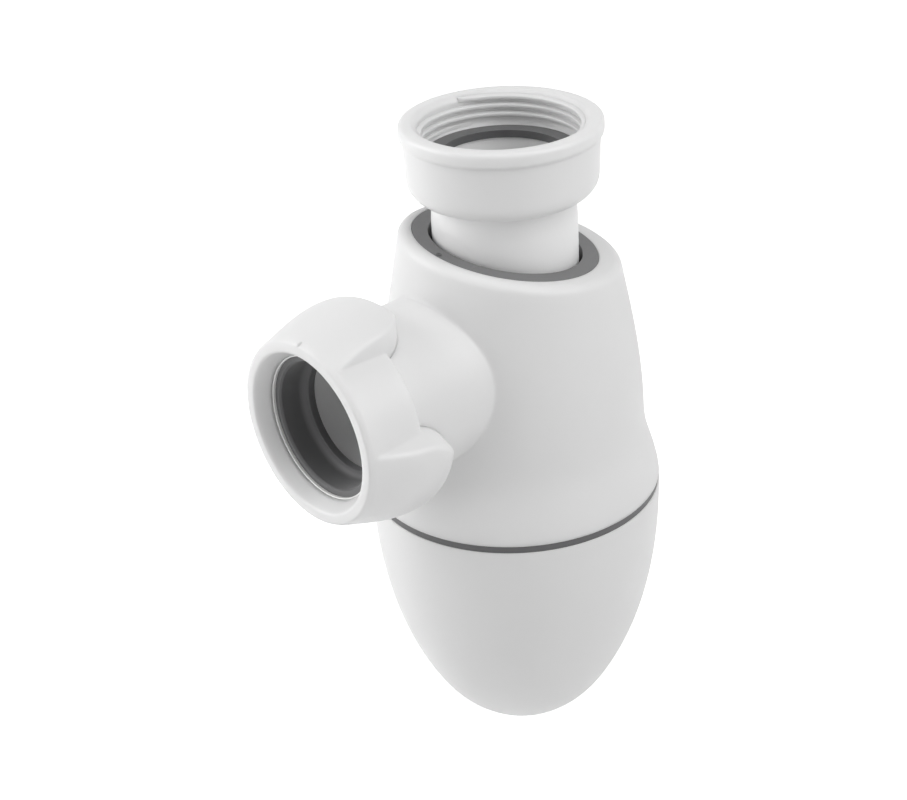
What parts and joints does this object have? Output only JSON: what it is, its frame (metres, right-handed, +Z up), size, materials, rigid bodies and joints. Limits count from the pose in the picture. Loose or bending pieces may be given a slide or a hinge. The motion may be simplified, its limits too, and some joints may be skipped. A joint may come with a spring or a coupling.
{
  "type": "bottle trap",
  "caption": "White plastic bottle trap for a washbasin: swivel inlet nut on a sliding dip tube, slanted body with a side outlet and coupling nut, and a screwed cup",
  "frame": {"origin": "centre of the inlet nut's mouth, where its thread begins", "axes": "+Z up along the inlet tube, the outlet points along -Y, +X to the right when looking along +Y"},
  "size_m": [0.0788, 0.1076, 0.1806],
  "materials": {
    "white_plastic": "moulded satin polypropylene",
    "slip_plastic": "smooth hard ring",
    "grey_rubber": "matt moulded rubber"
  },
  "bodies": {
    "body": {"upper_body": "white_plastic", "top_seal": "grey_rubber", "outlet_seal": "grey_rubber"},
    "tube": {"inlet_tube": "white_plastic", "inlet_washer": "grey_rubber"},
    "inlet_nut": {"inlet_nut": "white_plastic"},
    "slip_ring": {"slip_ring": "slip_plastic"},
    "outlet_nut": {"outlet_nut": "white_plastic"},
    "cup_seal": {"cup_seal": "grey_rubber"},
    "cup": {"cup": "white_plastic"}
  },
  "joints": [
    {"name": "tube_slide", "type": "slide", "parent": "body", "child": "tube", "axis": [0, 0, 1], "range_m": [-0.009, 0.015]},
    {"name": "inlet_nut_turn", "type": "hinge", "parent": "tube", "child": "inlet_nut", "pos_m": [0, 0, 0], "axis": [0, 0, 1], "continuous": true},
    {"name": "outlet_nut_travel", "type": "slide", "parent": "body", "child": "slip_ring", "axis": [0, -1, 0], "range_m": [0, 0.01155]},
    {"name": "outlet_nut_turn", "type": "hinge", "parent": "slip_ring", "child": "outlet_nut", "pos_m": [0, -0.06, -0.0601], "axis": [0, -1, 0], "range_deg": [0, 1800]},
    {"name": "cup_travel", "type": "slide", "parent": "body", "child": "cup_seal", "axis": [0, 0, -1], "range_m": [0, 0.0105]},
    {"name": "cup_turn", "type": "hinge", "parent": "cup_seal", "child": "cup", "pos_m": [0, 0, -0.11], "axis": [0, 0, -1], "range_deg": [0, 1080]}
  ],
  "couplings": [
    {"joint": "outlet_nut_travel", "follows": "outlet_nut_turn", "m_per_rad": 0.0003675},
    {"joint": "cup_travel", "follows": "cup_turn", "m_per_rad": 0.00055704}
  ]
}
